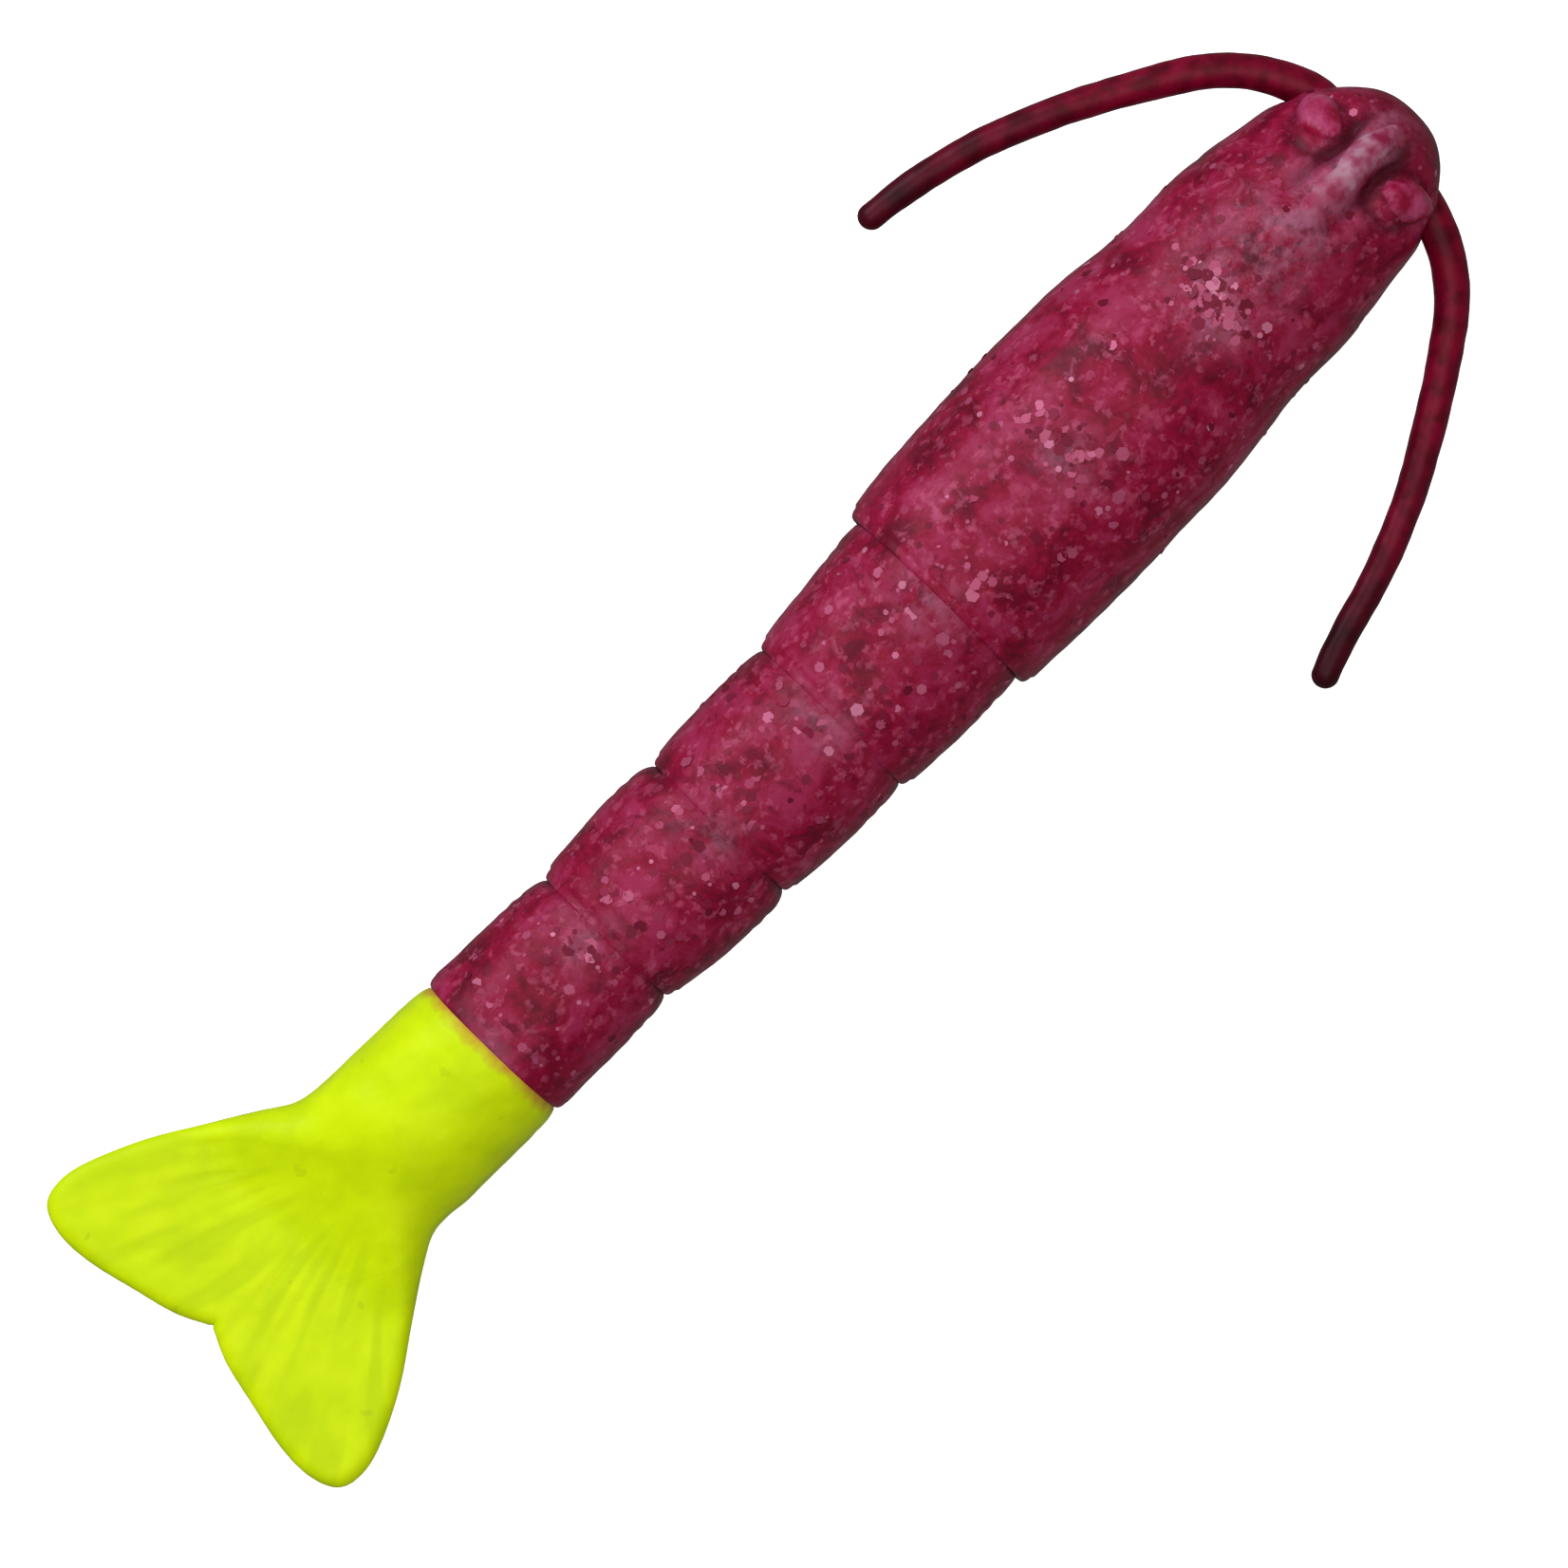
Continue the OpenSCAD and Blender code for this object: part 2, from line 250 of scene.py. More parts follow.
class Look:
    """A principled material with short names for the nodes that its colours are built from."""

    def __init__(self, name):
        self.material = bpy.data.materials.new(name)
        self.material.use_nodes = True
        self.tree = self.material.node_tree
        self.shader = self.tree.nodes["Principled BSDF"]
        self.rest = self.node("Attribute", attribute_name="rest_mm").outputs["Vector"]

    def node(self, kind, **settings):
        made = self.tree.nodes.new("ShaderNode" + kind)
        for key, value in settings.items():
            setattr(made, key, value)
        return made

    def link(self, source, target):
        self.tree.links.new(source, target)

    def tune(self, node, **sockets):
        for key, value in sockets.items():
            node.inputs[key.replace("_", " ")].default_value = value
        return node

    def set(self, **sockets):
        self.tune(self.shader, **sockets)

    def marked(self, name):
        """The number that mark() stored on each point."""
        return self.node("Attribute", attribute_name=name).outputs["Fac"]

    def noise(self, scale, detail=3.0, roughness=0.5, distortion=0.0):
        made = self.node("TexNoise")
        self.tune(made, Scale=scale, Detail=detail, Roughness=roughness, Distortion=distortion)
        self.link(self.rest, made.inputs["Vector"])
        return made.outputs[0]

    def cells(self, scale, ragged):
        """Cells of 1 / scale mm, as the distance from a cell's middle and the cell's random tones.
        ragged is how far, in mm, their places are pushed about."""
        push = self.tune(self.node("TexNoise"), Scale=2.2 * scale)
        self.link(self.rest, push.inputs["Vector"])
        pushed = self.node("VectorMath", operation="MULTIPLY_ADD")
        pushed.inputs[1].default_value = (ragged, ragged, ragged)
        self.link(push.outputs["Color"], pushed.inputs[0])
        self.link(self.rest, pushed.inputs[2])
        made = self.tune(self.node("TexVoronoi"), Scale=scale)
        self.link(pushed.outputs[0], made.inputs["Vector"])
        tones = self.node("SeparateColor")
        self.link(made.outputs["Color"], tones.inputs[0])
        return made.outputs["Distance"], tones.outputs

    def ramp(self, value, stops):
        made = self.node("ValToRGB")
        elements = made.color_ramp.elements
        while len(elements) < len(stops):
            elements.new(0.5)
        for element, (position, colour) in zip(elements, stops):
            element.position = position
            element.color = (*colour, 1)
        self.link(value, made.inputs["Fac"])
        return made.outputs["Color"]

    def spread(self, value, low, high, to_low=0.0, to_high=1.0, kind="LINEAR"):
        """The value mapped from low..high to to_low..to_high, and held beyond them."""
        made = self.node("MapRange", interpolation_type=kind)
        self.tune(made, From_Min=low, From_Max=high, To_Min=to_low, To_Max=to_high)
        self.link(value, made.inputs["Value"])
        return made.outputs[0]

    def fill(self, sockets, values):
        """Links the values that are sockets and stores the others."""
        for socket, value in zip(sockets, values):
            if isinstance(value, bpy.types.NodeSocket):
                self.link(value, socket)
            else:
                socket.default_value = (*value, 1) if isinstance(value, tuple) else value

    def mix(self, share, first, second):
        made = self.node("Mix", data_type="RGBA")
        self.fill((made.inputs["Factor"], made.inputs[6], made.inputs[7]), (share, first, second))
        return made.outputs[2]

    def maths(self, operation, first, second=0.0, third=0.0):
        made = self.node("Math", operation=operation)
        self.fill(made.inputs, (first, second, third))
        return made.outputs[0]

    def times(self, first, second, plus=0.0):
        return self.maths("MULTIPLY_ADD", first, second, plus)

    def axis(self, letter):
        made = self.node("SeparateXYZ")
        self.link(self.rest, made.inputs[0])
        return made.outputs[letter]

    def coat(self, share, colour):
        """Mixes a colour over the base so far."""
        self.base = self.mix(share, self.base, colour)

    def rough(self, value, smoothest, roughest):
        self.link(self.spread(value, 0.0, 1.0, smoothest, roughest), self.shader.inputs["Roughness"])

    def bump(self, height, strength, distance_mm):
        made = self.tune(self.node("Bump"), Strength=strength, Distance=distance_mm * MM)
        self.link(height, made.inputs["Height"])
        self.link(made.outputs[0], self.shader.inputs["Normal"])

    def finished(self):
        self.link(self.base, self.shader.inputs["Base Color"])
        return self.material


DEEP_CRIMSON = (0.12, 0.0003, 0.012)
CRIMSON = (0.245, 0.0012, 0.026)
PLUM = (0.31, 0.016, 0.066)
PALE_PINK = (0.50, 0.085, 0.17)
# colour of the painted highlight
HIGHLIGHT_PINK = (0.38, 0.13, 0.21)
# colour of the painted shade
PAINTED_SHADE = (0.045, 0.0006, 0.006)
NEAR_BLACK = (0.014, 0.001, 0.003)
CHARTREUSE = (0.60, 0.77, 0.001)
DEEP_CHARTREUSE = (0.54, 0.70, 0.001)
PALE_CHARTREUSE = (0.65, 0.80, 0.003)
STREAK_GREEN = (0.49, 0.65, 0.001)
SPECK_OLIVE = (0.30, 0.36, 0.003)
BLED_ORANGE = (0.50, 0.14, 0.03)
ANTENNA_TONES = ((0.36, (0.085, 0.0003, 0.007)), (0.60, (0.18, 0.0008, 0.018)))
# crimson and pinks painted as highlight on the eye lumps
EYE_HIGHLIGHT_TONES = ((0.40, CRIMSON), (0.50, (0.32, 0.020, 0.075)), (0.62, (0.40, 0.050, 0.13)))
# pale pinks painted as highlight along the crest
CREST_HIGHLIGHT_TONES = ((0.38, (0.23, 0.010, 0.045)), (0.50, (0.33, 0.075, 0.135)), (0.62, (0.40, 0.19, 0.25)))
FLAKE_TONES = ((0.0, (0.110, 0.001, 0.014)), (0.30, (0.21, 0.006, 0.038)), (0.62, (0.32, 0.035, 0.090)),
               (0.86, (0.43, 0.085, 0.165)), (1.0, (0.54, 0.17, 0.27)))
DEEP_FLAKES = ((1.1, 0.80, 0.30), (1.9, 0.72, 0.40))  # cells per mm, share left out, strength


def shade_below(look, deep, full_mm, start_mm, strength):
    """Painted shade: deepens the colour from a height above the centre line down to another, towards the
    belly.
    """
    height = look.axis("Z")
    look.coat(look.spread(height, AXIS_Z + full_mm, AXIS_Z + start_mm, strength, 0.0, "SMOOTHSTEP"), deep)


def crimson_look():
    """Cloudy crimson plastisol with dim flakes below the surface, painted highlight and shade over the back,
    and painted shade in hollows, at the snout and towards the belly.
    """
    look = Look("crimson_plastisol")
    clouds = look.noise(0.42, detail=5, roughness=0.68, distortion=0.4)
    look.base = look.ramp(clouds, ((0.36, DEEP_CRIMSON), (0.49, CRIMSON), (0.62, PLUM)))
    blotches = look.noise(0.95, detail=3, roughness=0.6, distortion=0.8)
    look.coat(look.spread(blotches, 0.60, 0.72, 0.0, 0.5), PALE_PINK)
    look.coat(look.spread(blotches, 0.28, 0.41, 0.75, 0.0), DEEP_CRIMSON)
    for size, left_out, strength in DEEP_FLAKES:
        distance, tones = look.cells(size, ragged=1.3 / size)
        lit = look.times(look.spread(distance, 0.52, 0.22), look.maths("GREATER_THAN", tones[0], left_out))
        look.coat(look.times(lit, strength), PALE_PINK)
    # painted highlight in pale patches and painted shade in dark gaps, over the ridge and behind the grooves
    painted_light = look.marked("painted_light")
    highlight_patches = look.spread(look.noise(0.8, detail=5, roughness=0.7), 0.38, 0.62, 0.0, 0.62)
    look.coat(look.times(painted_light, highlight_patches), HIGHLIGHT_PINK)
    shade_gaps = look.spread(look.noise(1.3, detail=2), 0.32, 0.44, 0.55, 0.0)
    look.coat(look.times(painted_light, shade_gaps), PAINTED_SHADE)
    # painted shade in the hollows
    look.coat(look.times(look.marked("hollow"), 0.85), PAINTED_SHADE)
    # painted shade over the snout's tip, where it curves down
    look.coat(look.spread(look.axis("X"), NOSE_X - 2.6, NOSE_X, 0.0, 0.6), DEEP_CRIMSON)
    # painted shade on the lower flanks and belly
    shade_below(look, PAINTED_SHADE, -1.5, 2.8, 0.65)
    grain = look.noise(1.9, detail=3)
    look.rough(grain, 0.34, 0.56)
    look.bump(look.times(look.noise(3.2, detail=2), 0.5, grain), 0.35, 0.08)
    look.set(Subsurface_Weight=0.10, Subsurface_Scale=0.0008, Subsurface_Radius=(1.0, 0.25, 0.3))
    look.set(Specular_IOR_Level=0.12)
    return look.finished()


def chartreuse_look():
    """Bright chartreuse plastisol: a little cloudy, with rare dark specks and a bled colour seam."""
    look = Look("chartreuse_plastisol")
    clouds = look.noise(0.28, detail=4, roughness=0.6)
    look.base = look.ramp(clouds, ((0.34, DEEP_CHARTREUSE), (0.52, CHARTREUSE), (0.68, PALE_CHARTREUSE)))
    streak = look.times(look.marked("streak"), 0.5, 0.5)
    look.coat(look.spread(streak, 0.30, 0.5, 0.55, 0.0), STREAK_GREEN)
    distance, tones = look.cells(0.55, ragged=1.2)
    small = look.maths("LESS_THAN", distance, 0.12)
    rare = look.times(small, look.maths("GREATER_THAN", tones[1], 0.6))
    look.coat(look.times(rare, 0.2), SPECK_OLIVE)
    # a thin ragged band behind the seam where the two pours ran together
    ragged = look.times(look.noise(1.3, detail=2), 1.1, look.axis("X"))
    look.coat(look.spread(ragged, SEAM_X - 0.15, SEAM_X + 0.55, 0.0, 0.75), BLED_ORANGE)
    grain = look.noise(1.4, detail=3)
    look.rough(grain, 0.34, 0.54)
    look.bump(grain, 0.25, 0.08)
    look.set(Subsurface_Weight=0.05, Subsurface_Scale=0.0004, Subsurface_Radius=(0.8, 1.0, 0.2))
    look.set(Specular_IOR_Level=0.07)
    return look.finished()


def antenna_look():
    """Dark crimson that turns almost black towards the tip, as thin plastisol with dense colour does."""
    look = Look("antenna_plastisol")
    look.base = look.ramp(look.noise(0.9, detail=3), ANTENNA_TONES)
    mottled = look.times(look.noise(0.35, detail=1), 0.5, look.marked("along"))
    look.coat(look.spread(mottled, 0.75, 1.28, 0.0, 0.85), NEAR_BLACK)
    look.bump(look.noise(2.2, detail=2), 0.25, 0.05)
    look.set(Roughness=0.42, Subsurface_Weight=0.05, Subsurface_Scale=0.0006, Specular_IOR_Level=0.10)
    return look.finished()


def eye_highlight_look():
    """Crimson with pink painted highlight in patches, and painted shade towards the bottom of the lump."""
    look = Look("eye_highlight_plastisol")
    # crimson and pink painted highlight in patches over the lump
    look.base = look.ramp(look.noise(0.8, detail=4, roughness=0.6), EYE_HIGHLIGHT_TONES)
    # painted shade towards the bottom of the lump
    shade_below(look, DEEP_CRIMSON, 1.6, 3.6, 0.8)
    look.bump(look.noise(2.2, detail=3), 0.4, 0.08)
    look.set(Roughness=0.38, Subsurface_Weight=0.1, Subsurface_Scale=0.0005, Specular_IOR_Level=0.18)
    return look.finished()


def crest_highlight_look():
    """The rostrum's crest is painted pale as a highlight. It fades to crimson at its rear."""
    look = Look("crest_highlight_plastisol")
    # pale painted highlight along the crest
    look.base = look.ramp(look.noise(0.8, detail=4), CREST_HIGHLIGHT_TONES)
    mottled = look.times(look.noise(0.6, detail=2), 0.3, look.marked("along"))
    look.coat(look.spread(mottled, 0.55, 1.05), PLUM)
    look.bump(look.noise(2.6, detail=2), 0.3, 0.05)
    look.set(Roughness=0.45, Subsurface_Weight=0.15, Subsurface_Scale=0.0006, Specular_IOR_Level=0.18)
    return look.finished()


def glitter_look():
    """Metallised film flakes under a skin of plastisol, each with its own tint: most dim, a few bright."""
    look = Look("glitter_film")
    look.base = look.ramp(look.marked("tint"), FLAKE_TONES)
    look.coat(look.times(look.noise(5.0, detail=2), 0.3), CRIMSON)
    look.set(Metallic=0.2, Roughness=0.46, Specular_IOR_Level=0.2)
    return look.finished()


crimson = crimson_look()
chartreuse = chartreuse_look()
antenna_dark = antenna_look()
eye_highlight_pink = eye_highlight_look()
crest_highlight_pink = crest_highlight_look()
glitter = glitter_look()

# ---- sections of the body ----

AROUND = 144  # points round a section
TOP_SQUARENESS = 2.08
BELLY_SQUARENESS = 2.7
ANGLES = full_turn(AROUND)  # 0 at the back's ridge, towards +Y
FROM_TOP = np.minimum(ANGLES, 2 * np.pi - ANGLES)
ON_TOP = FROM_TOP < np.pi / 2
# Grooves are shallow over the back, deep at the flanks and shallower again on the belly flat
GROOVE_PROFILE = 0.22 + 0.78 * ease(0.5, 1.35, FROM_TOP) - 0.35 * ease(2.0, 2.8, FROM_TOP)
LUMPS_FADE_W = 3  # the lumps fade where the half width is less


def section(x, half_w, top, bottom, lift=0.0):
    """One loop round the body: half width, height above and depth below the centre line.
    lift is how far each point stands out from that outline, besides the lumps."""
    upper = np.cos(ANGLES) >= 0
    squareness = np.where(upper, TOP_SQUARENESS, BELLY_SQUARENESS)
    y = half_w * np.sign(np.sin(ANGLES)) * np.abs(np.sin(ANGLES)) ** (2 / squareness)
    z = np.where(upper, top, bottom) * np.sign(np.cos(ANGLES)) * np.abs(np.cos(ANGLES)) ** (2 / squareness)
    reach = np.maximum(np.hypot(y, z), 1e-6)
    plain = np.column_stack([np.full(AROUND, float(x)), y, AXIS_Z + z])
    scale = 1 + (lift + lumps(plain) * min(1.0, half_w / LUMPS_FADE_W)) / reach
    return np.column_stack([plain[:, 0], y * scale, AXIS_Z + z * scale])


def belly_depth(half_w):
    """The belly stays flat on the table until the head narrows to the snout."""
    return half_w / (1 + (half_w / BELLY) ** 12) ** (1 / 12)


REAR_NARROWING = 0.45  # from the widest place of the carapace back to its rim
WAIST = (HEAD_BACK_X - 3.6, 3.2, 0.4)  # where the outline draws in behind the head: x, run and depth
CHEEK = (HEAD_BACK_X + 6.3, 1.4, 0.2)  # and where it swells at the eyes


def body_half_w(x):
    """The outline of head and carapace seen from above."""
    front = CARAPACE_R * np.clip(1 - (np.maximum(x, 0) / NOSE_X) ** 3, 0, 1) ** 0.385
    back = CARAPACE_R - REAR_NARROWING * (np.minimum(x, 0) / NECK_X) ** 2
    waist = WAIST[2] * hump(x, *WAIST[:2])
    cheek = CHEEK[2] * hump(x, *CHEEK[:2])
    return np.where(x > 0, front, back) - waist + cheek


RIDGE_FRONT = NOSE_X - 0.6
RIDGE_BACK = HEAD_BACK_X - 3.0
RIDGE_END = (RIDGE_FRONT - 1.5, RIDGE_FRONT)
# Height or depth and width of each feature of the carapace. The fold's and boss's widths are angles
RIDGE = (0.30, 0.9)
BESIDE_RIDGE = (0.36, 0.48)
HEAD_GROOVE = (0.18, 0.42)
SIDE_FOLD = (0.07, 0.05)
EYE_SOCKET = (0.34, 0.36)
ANTENNA_BOSS = (0.34, 0.34)
MOULD_LINE = (0.045, 0.072)
SNOUT_HALF_W = 3  # features at the eyes stop where the snout is narrower


def ridge_relief(x, half_w):
    """The ridge along the head and the hollows on either side of it."""
    across = half_w * np.sin(ANGLES)
    ridge = RIDGE[0] * hump(across, 0, RIDGE[1]) * window(x, RIDGE_BACK, RIDGE_BACK + 6, *RIDGE_END)
    beside = BESIDE_RIDGE[0] * hump(np.abs(across), 1.35, BESIDE_RIDGE[1])
    return (ridge - beside * window(x, HEAD_BACK_X + 2.2, HEAD_BACK_X + 5, *RIDGE_END)) * ON_TOP


def fold_relief(x):
    """The groove behind the head, which sweeps forward down the flanks, and a fold along each side."""
    groove_x = HEAD_BACK_X - 1.5 + 3.4 * ease(0, 1.5, FROM_TOP)
    groove = HEAD_GROOVE[0] * hump(x, groove_x, HEAD_GROOVE[1]) * window(FROM_TOP, 0.12, 0.4, 1.35, 1.75)
    fold_run = window(x, NECK_X + 2, NECK_X + 6, HEAD_BACK_X - 4, HEAD_BACK_X - 1)
    return -groove - SIDE_FOLD[0] * hump(FROM_TOP, 1.12, SIDE_FOLD[1]) * fold_run


def eye_relief(x, half_w):
    """The hollow round each eye lump and the boss at each antenna's root."""
    eye_turn = np.arcsin(min(1, EYE_CENTRE[1] / max(half_w, SNOUT_HALF_W)))
    from_eye = np.hypot(x - EYE_CENTRE[0] - 0.3, half_w * (FROM_TOP - eye_turn) / 1.15)
    boss_x = joint_point("antenna_left_swing")[0] + 0.2
    boss = ANTENNA_BOSS[0] * hump(x, boss_x, 0.85) * hump(FROM_TOP, eye_turn + 0.55, ANTENNA_BOSS[1])
    return (boss - EYE_SOCKET[0] * hump(from_eye, EYE_R + 0.1, EYE_SOCKET[1])) * (half_w > SNOUT_HALF_W)


def carapace_lift(x, half_w):
    mould = hump(FROM_TOP, np.pi / 2, MOULD_LINE[1] / max(half_w, 1)) * ease(1.5, 3, half_w)
    return ridge_relief(x, half_w) + fold_relief(x) + eye_relief(x, half_w) + MOULD_LINE[0] * mould


def ridge_highlight(x, half_w):
    """How strongly highlight is painted over the thin ridge and behind it."""
    across = np.abs(half_w * np.sin(ANGLES))
    reach = window(x, RIDGE_BACK - 4, RIDGE_BACK + 3, RIDGE_FRONT - 0.5, RIDGE_FRONT + 0.6)
    return reach * hump(across, 0.25, 1.1 + 0.10 * (NOSE_X - x)) * ON_TOP


HIGHLIGHT_BEHIND = 0.6  # painted highlight gathers this far behind a groove
MID_CLUSTER_X = 1.3  # painted highlight and flakes also gather here, between the neck and the head


def gathered_highlight(x, centre, half_w):
    """How strongly highlight and shade are painted over the back near centre."""
    across = half_w * np.sin(ANGLES)
    return 0.8 * hump(x, centre, 1.5) * hump(across, 0.2, 1.7) * ON_TOP


# A rear rim rounds over: how far each loop lies in front of the rim, and how far inside its outline
RIM_TURN = ((0.50, 0.0), (0.36, 0.01), (0.24, 0.04), (0.13, 0.09), (0.05, 0.16), (0.01, 0.25),
            (0.0, 0.34), (0.08, 0.44))
RIM_LOOPS = len(RIM_TURN) + 3  # no flakes lie in the rim, its floor or the loop before them


def add_rim(loops, lifts, x, half_w, top, bottom, depth):
    """Adds a rear rim and its hidden floor, which goes depth inside the outline."""
    for forward, inset in (*RIM_TURN, (0.25, depth), (0.5, depth + 0.05)):
        lifts.append(-inset * GROOVE_PROFILE)
        loops.append(section(x + forward, half_w, top, bottom, lifts[-1]))


HOLLOW_DEPTH = 0.42


def mark_hollow_shade(skin, lifts):
    """Marks the points that lie well below the outline, where shade is painted."""
    mark(skin, "hollow", np.r_[np.clip(-np.ravel(lifts) / HOLLOW_DEPTH, 0, 1) ** 1.5, 1, 1])


def mark_painted_light(skin, painted_light, loop_count):
    """Stores the painted highlight and shade of each loop. Loops past the last one have none."""
    painted_light = painted_light + [np.zeros(AROUND)] * (loop_count - len(painted_light))
    mark(skin, "painted_light", np.r_[np.ravel(painted_light), 0, 0])


SNOUT_RUN = 11.3  # the snout's loops crowd towards its tip over this length
LOOP_STEP = 0.25


def build_carapace():
    near_tip = NOSE_X - SNOUT_RUN * np.linspace(0.004, 1, 46) ** 2
    behind = np.arange(HEAD_BACK_X - LOOP_STEP, NECK_X + 0.55, -LOOP_STEP)
    highlight_centres = (NECK_X - HIGHLIGHT_BEHIND, RIDGE_BACK - HIGHLIGHT_BEHIND, MID_CLUSTER_X)
    loops, lifts, painted_light = [], [], []
    for x in np.r_[near_tip, behind]:
        w = float(body_half_w(x))
        lifts.append(carapace_lift(x, w))
        painted_light.append(ridge_highlight(x, w) + sum(gathered_highlight(x, centre, w) for centre in highlight_centres))
        loops.append(section(x, w, w, belly_depth(w), lifts[-1]))
    rim = float(body_half_w(NECK_X))
    add_rim(loops, lifts, NECK_X, rim, rim, belly_depth(rim), 0.62)
    skin = make_piece("carapace_skin", *loft(loops), crimson, "crimson")
    mark_hollow_shade(skin, lifts)
    mark_painted_light(skin, painted_light, len(loops))
    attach(skin, "carapace_body")
    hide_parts("head", "carapace")
    return loops


# Half width of each ring at its front shoulder, middle and rear rim
RING_WIDTHS = ((5.70, 5.50, 5.12), (5.02, 5.03, 4.76), (4.92, 4.86, 4.44), (4.52, 4.58, 4.62))
TUCK = (0.75, 0.55, 0.35, 0.15, 0.0)  # loops in front of the groove, hidden in the rim ahead
TUCK_SLOPE = 0.35
RING_STEP = 0.2
GROOVE_DEPTH = 0.30
LEAST_DIP = 0.12
GROOVE_RUN = 0.5  # how quickly a shoulder rises behind its groove
FLUSH = 0.9  # over the back a ring starts almost level with the rim ahead
FLUSH_RUN = 2.0
PLEATS = ((1.6, 0.060), (2.45, 0.042))  # distance behind the groove and depth
PLEAT_RUN = 0.24
HIGHLIGHT_HALF_W = 5  # half width taken for the painted highlight on every ring


def ring_half_w(widths, share):
    """A smooth curve through the three widths."""
    front, middle, rear = widths
    ends = front * (1 - share) * (1 - 2 * share) + rear * share * (2 * share - 1)
    return ends + 4 * middle * share * (1 - share)


def ring_lift(x, groove, pleating):
    """Soft pleats behind the groove, and the mould line."""
    pleats = sum(depth * hump(groove - x, behind, PLEAT_RUN) for behind, depth in PLEATS) * (FROM_TOP < 2.0)
    return 0.04 * hump(FROM_TOP, np.pi / 2, 0.014) - pleating * pleats


def ring_sections(groove, rear, widths, ahead_w, heights, pleating):
    """Loops from the tuck under the rim ahead to just before the rear rim. heights gives the
    height above and depth below the centre line at an x where the half width is w."""
    dip = max(LEAST_DIP, widths[0] - ahead_w + GROOVE_DEPTH)
    loops, lifts = [], []
    for forward in TUCK:
        lifts.append(-(dip + TUCK_SLOPE * forward) * GROOVE_PROFILE)
        loops.append(section(groove + forward, widths[0], *heights(groove, widths[0]), lifts[-1]))
    for x in np.arange(groove - 0.12, rear + 0.52, -RING_STEP):
        w = float(ring_half_w(widths, (groove - x) / (groove - rear)))
        rising = dip * math.exp(-(groove - x) / GROOVE_RUN)
        lifts.append(ring_lift(x, groove, pleating) - rising * GROOVE_PROFILE)
        loops.append(section(x, w, *heights(x, w), lifts[-1]))
    return loops, lifts


def build_ring(k):
    """Ring k's skin, from the tuck under the rim ahead back to its own rear rim."""
    groove, rear = GROOVES[k - 1], GROOVES[k]
    widths = RING_WIDTHS[k - 1]
    ahead_w = float(body_half_w(NECK_X)) if k == 1 else RING_WIDTHS[k - 2][2]

    def heights(x, w):
        return w + (ahead_w - w) * FLUSH * math.exp(-max(groove - x, 0) / FLUSH_RUN), BELLY

    # painted highlight and shade just behind this ring's groove and its rear rim
    def painted_light(x):
        return sum(gathered_highlight(x, near - HIGHLIGHT_BEHIND, HIGHLIGHT_HALF_W) for near in (groove, rear))

    loops, lifts = ring_sections(groove, rear, widths, ahead_w, heights, 1.0)
    add_rim(loops, lifts, rear, widths[2], widths[2], BELLY, 0.5)
    skin = make_piece(f"abdomen_skin_{k}", *loft(loops), crimson, "crimson")
    mark_hollow_shade(skin, lifts)
    mark_painted_light(skin, [painted_light(loop[0][0]) for loop in loops], len(loops))
    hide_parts(f"abdomen_{k}")
    bend_over_groove(skin)
    return loops


def bend_over_groove(piece):
    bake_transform(piece)


# ---- tail and fan ----

TAIL_WIDTHS = (4.60, 4.63, 4.66)
TAIL_CUT_X = SEAM_X - 6.0  # the tail's skin meets the fan's here, inside the tail segment
TAIL_TOP = (4.6, 3.0)  # height above the centre line at the seam and at the fan's root
TAIL_BOTTOM = (BELLY, 2.7)
TAIL_PLEATING = 0.3


def tail_heights(x, w):
    """The tail flattens evenly from the seam to the fan's root, whatever its half width."""
    share = float(np.clip((SEAM_X - 0.5 - x) / (SEAM_X - FAN_X + 0.5), 0, 1)) ** 1.3
    return [front + (rear - front) * share for front, rear in (TAIL_TOP, TAIL_BOTTOM)]


def build_tail():
    loops, _ = ring_sections(
        SEAM_X, TAIL_CUT_X - 0.5, TAIL_WIDTHS, RING_WIDTHS[3][2], tail_heights, TAIL_PLEATING)
    loops = [loop for loop in loops if loop[0][0] > TAIL_CUT_X + 0.05]
    loops.append(fan_section(TAIL_CUT_X))
    skin = make_piece("tail_skin", *loft(loops), chartreuse, "chartreuse")
    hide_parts("tail_segment")
    bend_over_groove(skin)


NOTCH = np.array([FAN_END_X + 2.2, 0.0])
CUT_START = np.array([FAN_X - 1.0, 5.55])
# The lobe's outline from the fan's root, along its flared side, round its corner, to the notch
LOBE_OUTLINE = (
    (FAN_X + 3.2, 4.66), (FAN_X + 1.3, 4.66), (FAN_X + 0.2, 4.86), (CUT_START[0], CUT_START[1]),
    (FAN_X - 3.6, 7.2), (FAN_X - 6.6, 9.1), (FAN_X - 9.6, 10.45), (FAN_END_X + 1.75, FAN_HALF_W),
    (FAN_END_X + 0.65, 10.2), (FAN_END_X + 0.12, 8.7), (FAN_END_X + 0.2, 6.7),
    (FAN_END_X + 0.75, 4.2), (FAN_END_X + 1.35, 1.8), (NOTCH[0], NOTCH[1]),
)
OUTLINE = along_curve(LOBE_OUTLINE, 500)
RAY_ORIGIN_X = FAN_X + 3.0
RAYS = ((5.3, 0.0, 0.014), (9.7, 1.3, 0.012))  # cycles across a lobe, phase and height
LOBE_SPREAD = 0.85  # angle that a lobe takes, seen from the rays' origin
LOBE_HALF_T = 0.55  # half the fan's thickness behind the root
ROOT_DROP = 2.3  # how much thicker half the fan is at its root than behind
ROOT_RUN = (-2.2, 5.2)  # from where to where behind the root it thins
EDGE_ROUND = (0.8, 3.6)  # how far in its edge is rounded, behind and in addition at the root


